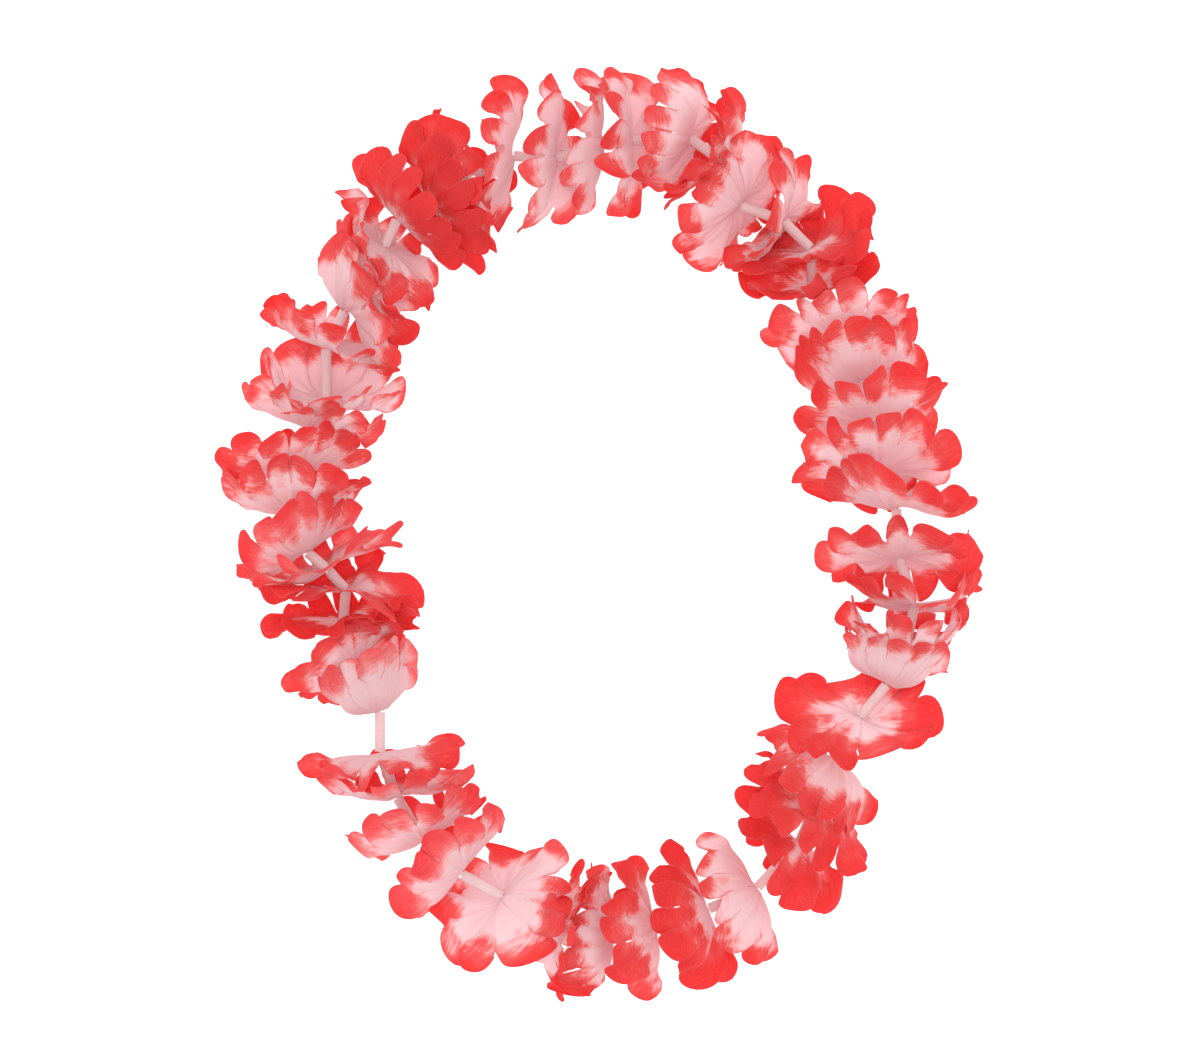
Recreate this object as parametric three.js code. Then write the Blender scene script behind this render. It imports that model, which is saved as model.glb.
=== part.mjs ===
// A fabric flower lei, closed into an oval and laid flat.
// Fifty cut-cloth florets are threaded on one string, with a straight spacer tube between each two.
// Millimetres. +Z is up, +Y is the long way of the oval, and the surface that it lies on is z = 0.

import * as THREE from 'three';

// Floret: one disc of cloth, cut into rounded lobes from its rim almost half-way in.
const FLORET_RADIUS = 42.5;
const LOBES = 12;
const HOLE_RADIUS = 2.1;
const SLIT_ROOT = 0.58; // of the radius, where the slits between the lobes end
const LOBE_SIDE = 0.8; // of the radius, where a lobe is widest
const ROOT_SPREAD = 0.28; // between the deepest and the shortest slit, of their own length
const TIP_REACH = 0.995; // of the radius, to the tip of a lobe
const TIP_SPREAD = 0.09; // between the shortest and the longest lobe
const SLIT_SHARE = 0.07; // of a lobe's angle, the gap on each side of it
const TIP_SHARE = 0.22; // of a lobe's angle, from its middle to the corner of its blunt tip
const RADIUS_SPREAD = 0.08; // between the smallest and the largest floret
const CLOTH = 0.65; // thickness

// How the cloth stands. Slopes are radians from the plane square to the string.
const STEEPEST = 1.2;
const BASE_SLOPE = 0.4; // of the cup's, at the string
const TIP_SLOPE = 2.7; // of the cup's, at the tips of the lobes
const BEND_FROM = 0.25; // of the radius, where the bowl starts to turn up
const BEND_TO = 0.85;
const REST_SLOPE = 0.36; // of the lobes below the string, which lean clockwise in most florets
const REST_FROM = 0.2; // sine of the angle below level where that lean begins
const REST_FULL = 0.88;
const RUFFLE = 0.28;
const RUFFLES = [3, 4, 5]; // waves round a floret
const YAW_SPREAD = 0.2; // of what the outward side leans more than its inner side
const HEIGHT_SPREAD = 3; // of the florets' middles, over and under the string's height
const SQUARE_UNTIL = 0.5; // of the radius, where the cloth stops standing square to its own tubes
const NEIGHBOUR_GAP = 5.8; // least distance along the string between one cloth and the next
const REACH = 4; // neighbours each way that press on a floret
const SETTLING = 24;
const LEAST_ROOM = 2; // along the surface, for cloth that comes down on it
const STEPS = 14; // of the sum that follows the cloth out from its hole
const SHOWN_FROM = 0.2; // a floret that faces up more than this leans its lower cloth with the rest
const SHOWN_FULL = 0.7;
const TIPPED_FROM = 0.45; // so does one that faces down more than this
const TIPPED_FULL = 0.95;
const LENGTH_STEPS = 8; // of the sum that keeps the cloth's length where it is pressed

// String and spacer tubes.
const STRING_HEIGHT = 25;
const STRING_RADIUS = 0.7;
const TUBE_RADIUS = 2.6;
const TUBE_SIDES = 6;
const TUBE_END_GAP = 2.6; // from a floret's middle to the end of the tube
const KNOT_AFTER = 49; // the knot is beside this floret
const KNOT_RADIUS = 1.8;
const KNOT_LENGTH = 4;
const KNOT_SPACE = 9;
const KNOT_SHOULDER = 0.3; // of its length, where it is full at either end
const WAVES = 7; // of the sum that smooths the string's zigzag into the middle line of the lei
const SAMPLES = 720; // of the zigzag, for those waves
const PLACINGS = 4; // passes that find where a floret is along the middle line

const PALE = new THREE.Color(0xf0c9cd);
const RED = new THREE.Color(0xe42a2c);
const PLASTIC = new THREE.Color(0xf4e6e6);

// Each floret, clockwise seen from above: x and y of its hole, the way it opens along the string
// (1 is clockwise), the slope of its cup, how far it faces up (+) or down (-), how far its outward
// side leans clockwise of its inner side, and its share of red.
const FLORETS = [
  [-43.5, 187, -1, 0.3, -0.05, 0.72, 0.45],
  [-22, 186, -1, 0.2, -0.05, 0.5, 0.38],
  [1.5, 193.5, -1, 0.25, -0.1, 0.4, 0.35],
  [16, 194.5, -1, 0.2, -0.1, 0, 0.4],
  [45, 196, -1, 0.62, -0.05, 0, 0.45],
  [60, 185, -1, 0.35, 0.35, 0, 0.7],
  [70, 162.5, -1, 0.22, -0.8, -0.15, 0.45],
  [91.5, 154.5, -1, 0.25, 0.1, -0.5, 0.4],
  [105.5, 140.5, -1, 0.25, 0.6, 0.3, 0.95],
  [106, 122.5, -1, 0.4, 0.7, 0.25, 0.9],
  [122, 97.5, -1, 0.2, -0.5, 0.4, 0.3],
  [132.5, 76, -1, 0.65, -0.35, 0.15, 0.42],
  [137, 54.5, -1, 0.22, -0.35, 0, 0.5],
  [138, 29, -1, 0.15, -0.6, 0.2, 0.48],
  [148, 11, -1, 0.25, -0.2, 0.65, 0.6],
  [149.5, -14, -1, 0.05, -0.42, 0.2, 0.6],
  [157.5, -36.5, -1, 0.38, 0.3, 0, 0.5],
  [153, -57.5, -1, 0.5, 0.45, -0.3, 0.38],
  [143.5, -77, -1, 0.95, -0.1, -0.5, 0.3],
  [130, -94, -1, 0.1, 0.8, -0.55, 0.75],
  [117, -114, 1, 0.5, -0.35, 0.3, 0.55],
  [109, -135, 1, 0.15, -0.5, 0.25, 0.75],
  [100, -156, 1, 0.12, -0.55, 0.35, 0.9],
  [78.5, -179, 1, 0.4, -0.45, 0.3, 0.3],
  [54, -189.5, 1, 0.28, -0.5, 0, 0.85],
  [27.5, -197.5, 1, 0.3, -0.4, 0, 0.6],
  [6.5, -202.5, 1, 0.45, -0.35, 0, 0.42],
  [-20, -200, -1, 0.45, 0.1, 0.15, 0.55],
  [-48.5, -183.5, -1, 0.15, -0.9, 0.4, 0.45],
  [-69.5, -172, 1, 0.25, -0.35, 0, 0.5],
  [-88.5, -155.5, 1, 0.25, -0.25, 0.35, 0.5],
  [-101.5, -133.5, 1, 0.2, 0, 0.5, 0.55],
  [-110, -111.5, -1, 0.15, -0.2, 0.25, 0.6],
  [-110, -90.5, 1, 1.35, -0.2, -0.3, 0.4],
  [-124, -69.5, 1, 0.05, -0.85, -0.45, 0.6],
  [-128.5, -46, -1, 0.05, -0.3, 0.4, 0.85],
  [-127, -30, -1, 0.1, 0, 0.6, 0.8],
  [-136, -20, 1, 0.12, 0, 0.1, 0.6],
  [-146.5, -11, 1, 0.4, -0.4, -0.3, 0.6],
  [-150, 9, 1, 0.28, -0.5, 0.15, 0.4],
  [-153.5, 29.5, 1, 0.15, -0.5, -0.4, 0.42],
  [-145, 50, 1, 0.25, -0.2, 0, 0.5],
  [-137, 65.5, 1, 0.35, 0.6, 0, 0.35],
  [-137, 91, 1, 0.2, 0.1, 0.1, 0.42],
  [-127.5, 110, 1, 0.3, -0.3, 0.9, 0.42],
  [-119, 125, 1, 0.25, -0.1, 0.9, 0.5],
  [-108, 141.5, -1, 0.22, -0.3, 0.2, 0.42],
  [-101.5, 155.5, 1, 0.28, -0.3, -0.1, 0.95],
  [-85, 162.5, 1, 0.26, -0.45, 0, 0.92],
  [-71, 174, 1, 0.14, -0.05, -0.25, 0.8],
];

const FOLDED = [0, 2, 5, 14, 18, 32]; // the lower lobes of these lean the way they open

// A draw between 0 and 1 that is always the same for the same floret and use.
function draw(index, use) {
  const value = Math.sin(index * 12.9898 + use * 78.233) * 43758.5453;
  return value - Math.floor(value);
}

// A factor around 1 from such a draw, with the spread between its least and its most.
function vary(spread, index, use) {
  return 1 + spread * (draw(index, use) - 0.5);
}

function smoothStep(low, high, value) {
  const t = Math.min(1, Math.max(0, (value - low) / (high - low)));
  return t * t * (3 - 2 * t);
}

// The middle line: the closed zigzag through the holes, smoothed by its first few waves.
const holes = FLORETS.map(([x, y]) => new THREE.Vector2(x, y));
const runs = holes.map((hole, i) => hole.distanceTo(holes[(i + 1) % holes.length]));
const loopLength = runs.reduce((sum, run) => sum + run, 0);

function zigzag(distance) {
  let left = distance;
  let i = 0;
  while (left > runs[i]) {
    left -= runs[i];
    i += 1;
  }
  return holes[i].clone().lerp(holes[(i + 1) % holes.length], left / runs[i]);
}

const waves = [];
for (let k = -WAVES; k <= WAVES; k += 1) {
  const wave = { k, x: 0, y: 0 };
  for (let j = 0; j < SAMPLES; j += 1) {
    const point = zigzag((j / SAMPLES) * loopLength);
    const turn = (-2 * Math.PI * k * j) / SAMPLES;
    wave.x += (point.x * Math.cos(turn) - point.y * Math.sin(turn)) / SAMPLES;
    wave.y += (point.x * Math.sin(turn) + point.y * Math.cos(turn)) / SAMPLES;
  }
  waves.push(wave);
}

// Where the middle line is at a distance along it, with its direction and its outward side.
function middle(distance) {
  const at = new THREE.Vector2();
  const along = new THREE.Vector2();
  for (const { k, x, y } of waves) {
    const turn = (2 * Math.PI * k * distance) / loopLength;
    const px = x * Math.cos(turn) - y * Math.sin(turn);
    const py = x * Math.sin(turn) + y * Math.cos(turn);
    at.x += px;
    at.y += py;
    along.x -= k * py;
    along.y += k * px;
  }
  along.normalize();
  return { at, along, out: new THREE.Vector2(-along.y, along.x) };
}

// A point from its distance along the middle line, outward from it, and up from the string's height.
function place(distance, outward, up) {
  const { at, out } = middle(distance);
  at.addScaledVector(out, outward);
  return new THREE.Vector3(at.x, at.y, STRING_HEIGHT + up);
}

// Each floret with its place along and beside the middle line and its own shape.
let passed = 0;
const florets = FLORETS.map(([x, y, opens, cup, faceUp, yaw, red], i) => {
  let along = passed;
  passed += runs[i];
  let side = 0;
  let kink = 0;
  for (let pass = 0; pass < PLACINGS; pass += 1) {
    const line = middle(along);
    const off = new THREE.Vector2(x, y).sub(line.at);
    along += off.dot(line.along);
    side = off.dot(line.out);
    const before = holes[(i + holes.length - 1) % holes.length];
    const after = holes[(i + 1) % holes.length];
    const come = holes[i].clone().sub(before).normalize();
    const threaded = after.clone().sub(holes[i]).normalize().add(come);
    kink = Math.atan2(threaded.dot(line.out), threaded.dot(line.along));
  }
  return {
    along,
    side,
    kink,
    opens,
    folds: FOLDED.includes(i) ? opens : 1,
    cup,
    faceUp,
    red,
    up: (draw(i, 1) - 0.5) * HEIGHT_SPREAD,
    yaw: yaw + (draw(i, 2) - 0.5) * YAW_SPREAD,
    turn: (draw(i, 3) * 2 * Math.PI) / LOBES,
    ruffleTurn: draw(i, 4) * 2 * Math.PI,
    ruffles: RUFFLES[Math.floor(draw(i, 5) * RUFFLES.length)],
    radius: FLORET_RADIUS * vary(RADIUS_SPREAD, i, 6),
  };
});
const RESTING = 15; // this floret has one lobe flat on the surface, straight below its hole
florets[RESTING].turn = -Math.PI / 2;

// The slope of a floret's cloth at a share of its radius and an angle round the string.
function slope(floret, share, angle) {
  const lift = Math.sin(angle);
  const bend = smoothStep(BEND_FROM, BEND_TO, share);
  const open = floret.cup * (BASE_SLOPE + (TIP_SLOPE - BASE_SLOPE) * bend) - floret.faceUp * lift;
  const wave = Math.cos(floret.ruffles * angle + floret.ruffleTurn);
  const free = floret.opens * open + floret.yaw * Math.cos(angle) + RUFFLE * share * wave;
  const faced = smoothStep(SHOWN_FROM, SHOWN_FULL, floret.faceUp);
  const shown = faced + smoothStep(TIPPED_FROM, TIPPED_FULL, -floret.faceUp);
  const rest = smoothStep(REST_FROM, REST_FULL, -lift) * (1 - shown);
  const square = floret.kink * Math.cos(angle) * (1 - smoothStep(0, SQUARE_UNTIL, share));
  const lean = free * (1 - rest) + floret.folds * REST_SLOPE * rest - square;
  return Math.min(STEEPEST, Math.max(-STEEPEST, lean));
}

// Out along the cloth at one angle: how far from the string and how far along it, step by step.
function profile(floret, angle) {
  const step = (floret.radius - HOLE_RADIUS) / STEPS;
  const points = [{ out: HOLE_RADIUS, along: 0 }];
  for (let n = 0; n < STEPS; n += 1) {
    const share = (HOLE_RADIUS + (n + 0.5) * step) / floret.radius;
    const lean = slope(floret, share, angle);
    const last = points[n];
    points.push({ out: last.out + step * Math.cos(lean), along: last.along + step * Math.sin(lean) });
  }
  return points;
}

// How far along the string a floret's own cloth would be, at a place beside and above the string.
function wanted(floret, outward, up) {
  const x = outward - floret.side;
  const z = up - floret.up;
  const points = profile(floret, Math.atan2(z, x));
  const distance = Math.hypot(x, z);
  if (distance <= HOLE_RADIUS) return floret.along;
  const n = points.findIndex((point) => point.out >= distance);
  if (n < 0) return floret.along + points[STEPS].along;
  const [a, b] = [points[n - 1], points[n]];
  const t = (distance - a.out) / (b.out - a.out);
  return floret.along + a.along + t * (b.along - a.along);
}

// The same with its neighbours, once cloths that would cross have pressed each other apart.
function settled(index, outward, up) {
  const line = [];
  for (let n = index - REACH; n <= index + REACH; n += 1) {
    const lap = Math.floor(n / florets.length);
    const neighbour = florets[n - lap * florets.length];
    line.push(wanted(neighbour, outward, up) + lap * loopLength);
  }
  for (let pass = 0; pass < SETTLING; pass += 1) {
    for (let n = 0; n + 1 < line.length; n += 1) {
      const push = (NEIGHBOUR_GAP - (line[n + 1] - line[n])) / 2;
      if (push > 0) {
        line[n] -= push;
        line[n + 1] += push;
      }
    }
  }
  return line;
}

// A point of a floret's pressed cloth. Cloth that meets the surface below runs on along it.
function pressedPoint(index, share, angle) {
  const floret = florets[index];
  const points = profile(floret, angle);
  const reach = Math.max(0, (share * floret.radius - HOLE_RADIUS) / (floret.radius - HOLE_RADIUS));
  const n = Math.min(STEPS - 1, Math.floor(reach * STEPS));
  const t = reach * STEPS - n;
  let out = points[n].out + t * (points[n + 1].out - points[n].out);
  const down = -Math.sin(angle);
  const drop = STRING_HEIGHT - CLOTH / 2 + floret.up;
  const floorOut = down > 0 ? drop / down : Infinity;
  const over = Math.max(0, out - floorOut);
  out = Math.min(out, floorOut);
  const outward = floret.side + out * Math.cos(angle);
  const up = floret.up + out * Math.sin(angle);
  const line = settled(index, outward, up);
  const room = line[REACH + 1] - line[REACH] - NEIGHBOUR_GAP;
  const free = Math.max(room, LEAST_ROOM);
  const run = over > 0 ? free * (1 - Math.exp(-over / free)) : 0;
  return { point: place(line[REACH] + run, outward, up), resting: over > 0 };
}

// A point of a floret's middle surface, as far out along the pressed cloth as on the flat disc.
function clothPoint(index, share, angle) {
  const hole = HOLE_RADIUS / florets[index].radius;
  let last = pressedPoint(index, Math.min(share, hole), angle);
  let left = (share - hole) * florets[index].radius;
  for (let n = 1; n <= LENGTH_STEPS && left > 0; n += 1) {
    const next = pressedPoint(index, hole + ((share - hole) * n) / LENGTH_STEPS, angle);
    const step = next.point.distanceTo(last.point);
    const part = Math.min(1, left / step);
    const resting = next.resting && (last.resting || part === 1);
    last = { point: last.point.clone().lerp(next.point, part), resting };
    left -= step;
  }
  return last;
}

// One layer of a floret: a ring round its hole, then two steps out along each lobe.
function floretLayer(index) {
  const sector = (2 * Math.PI) / LOBES;
  const start = florets[index].turn;
  const points = [];
  const triangles = [];
  const add = (share, angle) => points.push(clothPoint(index, share, angle)) - 1;
  const hole = [];
  const roots = [];
  for (let lobe = 0; lobe < LOBES; lobe += 1) {
    const slit = start + (lobe - 0.5) * sector;
    hole.push(add(0, slit));
    roots.push(add(SLIT_ROOT * vary(ROOT_SPREAD, index, 20 + lobe), slit));
  }
  const rim = [];
  for (let lobe = 0; lobe < LOBES; lobe += 1) {
    const next = (lobe + 1) % LOBES;
    const centre = start + lobe * sector;
    const long = TIP_REACH * vary(TIP_SPREAD, index, 40 + lobe);
    const half = sector * (0.5 - SLIT_SHARE);
    const tip = sector * TIP_SHARE;
    const outline = [
      roots[lobe],
      add(LOBE_SIDE * long, centre - half),
      add(long, centre - tip),
      add(long, centre + tip),
      add(LOBE_SIDE * long, centre + half),
      roots[next],
    ];
    const [rootA, sideA, tipA, tipB, sideB, rootB] = outline;
    triangles.push([rootA, sideA, rootB], [rootB, sideA, sideB]);
    triangles.push([sideA, tipA, sideB], [sideB, tipA, tipB]);
    triangles.push([rootA, rootB, hole[lobe]], [hole[lobe], rootB, hole[next]]);
    rim.push(...outline.slice(0, -1));
  }
  return { points, triangles, edges: [rim, hole.slice().reverse()] };
}

// The layer given its thickness: the same triangles on both faces, joined round the edges.
function thicken({ points, triangles, edges }) {
  const normals = points.map(() => new THREE.Vector3());
  for (const [a, b, c] of triangles) {
    const [p, q, r] = [points[a].point, points[b].point, points[c].point];
    const area = q.clone().sub(p).cross(r.clone().sub(p));
    [a, b, c].forEach((corner) => normals[corner].add(area));
  }
  const front = [];
  const back = [];
  points.forEach(({ point, resting }, n) => {
    const normal = normals[n].normalize();
    if (resting) normal.set(0, 0, Math.sign(normal.z));
    front.push(point.clone().addScaledVector(normal, CLOTH / 2));
    back.push(point.clone().addScaledVector(normal, -CLOTH / 2));
  });
  const faces = triangles.map((face) => face.slice());
  triangles.forEach(([a, b, c]) => faces.push([c, b, a].map((n) => n + points.length)));
  for (const edge of edges) {
    edge.forEach((a, n) => {
      const b = edge[(n + 1) % edge.length];
      faces.push([b, a, a + points.length], [b, a + points.length, b + points.length]);
    });
  }
  return solid([...front, ...back], faces);
}

// A closed geometry with its faces pointing out.
function solid(corners, faces) {
  let volume = 0;
  for (const [a, b, c] of faces) {
    volume += corners[a].dot(corners[b].clone().cross(corners[c]));
  }
  const outward = volume > 0 ? faces : faces.map(([a, b, c]) => [c, b, a]);
  const geometry = new THREE.BufferGeometry();
  geometry.setAttribute(
    'position',
    new THREE.Float32BufferAttribute(corners.flatMap((corner) => corner.toArray()), 3),
  );
  geometry.setIndex(outward.flat());
  geometry.computeVertexNormals();
  return geometry;
}

// The string all the way round, swelling into a tube between each two florets and into its knot.
function stringGeometry() {
  const corners = [];
  const faces = [];
  const through = florets.map(({ up }, i) => {
    return new THREE.Vector3(holes[i].x, holes[i].y, STRING_HEIGHT + up);
  });
  const ring = (from, direction, distance, radius) => {
    const side = new THREE.Vector3(direction.y, -direction.x, 0).normalize();
    const top = side.clone().cross(direction);
    for (let n = 0; n < TUBE_SIDES; n += 1) {
      const turn = (2 * Math.PI * n) / TUBE_SIDES;
      const corner = from.clone().addScaledVector(direction, distance);
      corner.addScaledVector(side, radius * Math.cos(turn));
      corner.addScaledVector(top, radius * Math.sin(turn));
      corners.push(corner);
    }
  };
  through.forEach((from, i) => {
    const to = through[(i + 1) % through.length];
    const length = from.distanceTo(to);
    const direction = to.clone().sub(from).normalize();
    const knotted = i === KNOT_AFTER;
    const start = knotted ? KNOT_SPACE : TUBE_END_GAP;
    if (knotted) {
      const knot = TUBE_END_GAP;
      ring(from, direction, knot, STRING_RADIUS);
      ring(from, direction, knot + KNOT_LENGTH * KNOT_SHOULDER, KNOT_RADIUS);
      ring(from, direction, knot + KNOT_LENGTH * (1 - KNOT_SHOULDER), KNOT_RADIUS);
      ring(from, direction, knot + KNOT_LENGTH, STRING_RADIUS);
    }
    ring(from, direction, start, STRING_RADIUS);
    ring(from, direction, start, TUBE_RADIUS);
    ring(from, direction, length - TUBE_END_GAP, TUBE_RADIUS);
    ring(from, direction, length - TUBE_END_GAP, STRING_RADIUS);
  });
  const rings = corners.length / TUBE_SIDES;
  for (let n = 0; n < rings; n += 1) {
    const here = n * TUBE_SIDES;
    const next = ((n + 1) % rings) * TUBE_SIDES;
    for (let side = 0; side < TUBE_SIDES; side += 1) {
      const other = (side + 1) % TUBE_SIDES;
      faces.push([here + side, here + other, next + side]);
      faces.push([here + other, next + other, next + side]);
    }
  }
  return solid(corners, faces);
}

function named(name, geometry, color, roughness) {
  const material = new THREE.MeshStandardMaterial({ color, roughness, metalness: 0 });
  const mesh = new THREE.Mesh(geometry, material);
  mesh.name = name;
  return mesh;
}

const group = new THREE.Group();
group.add(named('string_with_spacer_tubes', stringGeometry(), PLASTIC, 0.35));
florets.forEach(({ red }, i) => {
  const name = `floret_${String(i + 1).padStart(2, '0')}`;
  const color = PALE.clone().lerp(RED, red);
  group.add(named(name, thicken(floretLayer(i)), color, 0.8));
});

// The origin is the middle of the whole, on the surface.
const box = new THREE.Box3().setFromObject(group);
const middleOfBox = box.getCenter(new THREE.Vector3());
group.position.set(-middleOfBox.x, -middleOfBox.y, -box.min.z);

export default group;
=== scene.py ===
"""A cloth flower lei laid flat in an oval: cut-cloth florets on a string, with tubes between them.

Lengths in this file are millimetres, and each mesh is made in metres in the frame of the part.
"""

import math
from types import SimpleNamespace

import bpy
from mathutils.bvhtree import BVHTree
import numpy as np
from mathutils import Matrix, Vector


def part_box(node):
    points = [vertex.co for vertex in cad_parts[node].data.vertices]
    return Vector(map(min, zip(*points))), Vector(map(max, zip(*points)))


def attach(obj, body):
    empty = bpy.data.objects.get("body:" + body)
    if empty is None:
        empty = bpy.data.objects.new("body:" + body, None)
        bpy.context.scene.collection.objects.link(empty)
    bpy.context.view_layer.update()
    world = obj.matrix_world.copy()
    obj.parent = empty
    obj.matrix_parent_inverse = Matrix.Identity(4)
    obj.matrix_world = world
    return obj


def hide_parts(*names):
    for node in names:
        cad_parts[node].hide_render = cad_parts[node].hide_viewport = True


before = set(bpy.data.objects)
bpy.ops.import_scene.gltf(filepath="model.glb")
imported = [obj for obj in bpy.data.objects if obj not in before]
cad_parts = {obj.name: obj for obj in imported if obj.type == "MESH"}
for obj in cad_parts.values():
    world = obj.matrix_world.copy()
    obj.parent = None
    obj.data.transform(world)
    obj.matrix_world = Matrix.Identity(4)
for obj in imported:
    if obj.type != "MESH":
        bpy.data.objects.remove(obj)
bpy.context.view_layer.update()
MM = 0.001

# ---------------------------------------------------------------- driving dimensions

# Florets: one disc of cloth each, with rounded lobes cut half-way in.
FLORET_RADIUS = 42.5
SMALLEST = 0.96  # of that radius, and how much larger the others may be
SIZE_SPREAD = 0.08
LOBES = 12
HOLE_RADIUS = 1.0
SLIT_ROOT = 0.58  # of the radius, where the slits between the lobes end
CLOTH = 0.24
CAD_CLOTH = 0.65
NECK_HALF = 5.9  # half the width of a lobe just past its slits
LOBE_HALF = 6.8  # and where it is widest
TIP_ROUND = 6.2
TIP_POWER = 2.5  # 2 is a round tip and more is a blunter one

# How the cloth stands. Slopes are radians from the plane square to the string.
STEEPEST = 1.2
BASE_SLOPE = 0.4
TIP_SLOPE = 2.7
BEND_FROM = 0.25
BEND_TO = 0.85
REST_SLOPE = 0.36
REST_FROM = 0.2
REST_FULL = 0.88
SHOWN_FROM = 0.2  # how far a floret faces up before its lower cloth leans with the rest of it
SHOWN_FULL = 0.7
TIPPED_FROM = 0.45  # and how far down
TIPPED_FULL = 0.95
RUFFLE = 0.28
FEWEST_RUFFLES = 3
RUFFLE_CHOICES = 3
UP_SPREAD = 3  # how much higher the string runs through one hole than through another
YAW_SPREAD = 0.2
SQUARE_UNTIL = 0.5
LEAN_SPREAD = 0.6  # how differently the lobes lean
TWIST = 0.95  # how far the lobes at the sides turn their faces up
TWIST_SPREAD = 0.8
COLLAR_FROM = 3.0  # the cloth is flat between the ends of its tubes
COLLAR_TO = 7.0
NEIGHBOUR_GAP = 2.2
REACH = 4
SETTLING = 24

# String and spacer tubes.
STRING_HEIGHT = 25
STRING_RADIUS = 0.5
TUBE_RADIUS = 2.6
TUBE_WALL = 0.35
TUBE_SIDES = 6
CAD_TUBE_END_GAP = 2.6
TUBE_END_GAP = 0.7
TUBE_FACES = 32
TUBE_STATIONS = 13
TUBE_BOW = 0.5
OUT_OF_SQUARE = 0.18  # how far a tube's ends are cut from square
KNOT_AFTER = 49
KNOT_SPACE = 9
KNOT_AT = 5.0  # along its run
KNOT_SIZE = 0.62
TAIL = 6.0
STRING_STEP = 0.9
STRANDS = 3
STRAND_RELIEF = 0.16
STRAND_TURN = 0.55  # how far the strands turn in one step
WAVES = 7

# Each floret, clockwise seen from above: x and y of its hole, the way it opens along the string
# (1 is clockwise), the slope of its cup, how far it faces up (+) or down (-), how far its outward
# side leans clockwise of its inner side, and its share of red.
FLORETS = [
    (-43.5, 187, -1, 0.3, -0.05, 0.72, 0.45),
    (-22, 186, -1, 0.2, -0.05, 0.5, 0.38),
    (1.5, 193.5, -1, 0.25, -0.1, 0.4, 0.35),
    (16, 194.5, -1, 0.2, -0.1, 0, 0.4),
    (45, 196, -1, 0.62, -0.05, 0, 0.45),
    (60, 185, -1, 0.35, 0.35, 0, 0.7),
    (70, 162.5, -1, 0.22, -0.8, -0.15, 0.45),
    (91.5, 154.5, -1, 0.25, 0.1, -0.5, 0.4),
    (105.5, 140.5, -1, 0.25, 0.6, 0.3, 0.95),
    (106, 122.5, -1, 0.4, 0.7, 0.25, 0.9),
    (122, 97.5, -1, 0.2, -0.5, 0.4, 0.3),
    (132.5, 76, -1, 0.65, -0.35, 0.15, 0.42),
    (137, 54.5, -1, 0.22, -0.35, 0, 0.5),
    (138, 29, -1, 0.15, -0.6, 0.2, 0.48),
    (148, 11, -1, 0.25, -0.2, 0.65, 0.6),
    (149.5, -14, -1, 0.05, -0.42, 0.2, 0.6),
    (157.5, -36.5, -1, 0.38, 0.3, 0, 0.5),
    (153, -57.5, -1, 0.5, 0.45, -0.3, 0.38),
    (143.5, -77, -1, 0.95, -0.1, -0.5, 0.3),
    (130, -94, -1, 0.1, 0.8, -0.55, 0.75),
    (117, -114, 1, 0.5, -0.35, 0.3, 0.55),
    (109, -135, 1, 0.15, -0.5, 0.25, 0.75),
    (100, -156, 1, 0.12, -0.55, 0.35, 0.9),
    (78.5, -179, 1, 0.4, -0.45, 0.3, 0.3),
    (54, -189.5, 1, 0.28, -0.5, 0, 0.85),
    (27.5, -197.5, 1, 0.3, -0.4, 0, 0.6),
    (6.5, -202.5, 1, 0.45, -0.35, 0, 0.42),
    (-20, -200, -1, 0.45, 0.1, 0.15, 0.55),
    (-48.5, -183.5, -1, 0.15, -0.9, 0.4, 0.45),
    (-69.5, -172, 1, 0.25, -0.35, 0, 0.5),
    (-88.5, -155.5, 1, 0.25, -0.25, 0.35, 0.5),
    (-101.5, -133.5, 1, 0.2, 0, 0.5, 0.55),
    (-110, -111.5, -1, 0.15, -0.2, 0.25, 0.6),
    (-110, -90.5, 1, 1.35, -0.2, -0.3, 0.4),
    (-124, -69.5, 1, 0.05, -0.85, -0.45, 0.6),
    (-128.5, -46, -1, 0.05, -0.3, 0.4, 0.85),
    (-127, -30, -1, 0.1, 0, 0.6, 0.8),
    (-136, -20, 1, 0.12, 0, 0.1, 0.6),
    (-146.5, -11, 1, 0.4, -0.4, -0.3, 0.6),
    (-150, 9, 1, 0.28, -0.5, 0.15, 0.4),
    (-153.5, 29.5, 1, 0.15, -0.5, -0.4, 0.42),
    (-145, 50, 1, 0.25, -0.2, 0, 0.5),
    (-137, 65.5, 1, 0.35, 0.6, 0, 0.35),
    (-137, 91, 1, 0.2, 0.1, 0.1, 0.42),
    (-127.5, 110, 1, 0.3, -0.3, 0.9, 0.42),
    (-119, 125, 1, 0.25, -0.1, 0.9, 0.5),
    (-108, 141.5, -1, 0.22, -0.3, 0.2, 0.42),
    (-101.5, 155.5, 1, 0.28, -0.3, -0.1, 0.95),
    (-85, 162.5, 1, 0.26, -0.45, 0, 0.92),
    (-71, 174, 1, 0.14, -0.05, -0.25, 0.8),
]
RESTING = 15  # the floret with a lobe straight below its hole, for the part's flat resting spot
FOLDED = (0, 2, 5, 14, 18, 32)  # the florets whose lower lobes lean the way they open
FADED = (29, 30, 31, 33, 37, 38)  # the florets whose dye is paler
FADED_SHARE = 0.75  # how much paler, from 0 for the full dye to 1
USUAL_FADE = 0.3  # the most that any other is
DYE_SPREAD = 0.26  # how differently far the dye runs in the lobes, as a share of the radius
FINGER = 0.05  # how far its edge runs in and out between them
CLOTH_APART = 137.0  # between the cloths in the pattern of the dye, so that no two look alike

# The photograph's frame, and the camera straight above it.
FRAME_WIDTH = 600
FRAME_CENTRE = (0, 0.5)
LENS = 180
SENSOR = 36

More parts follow.
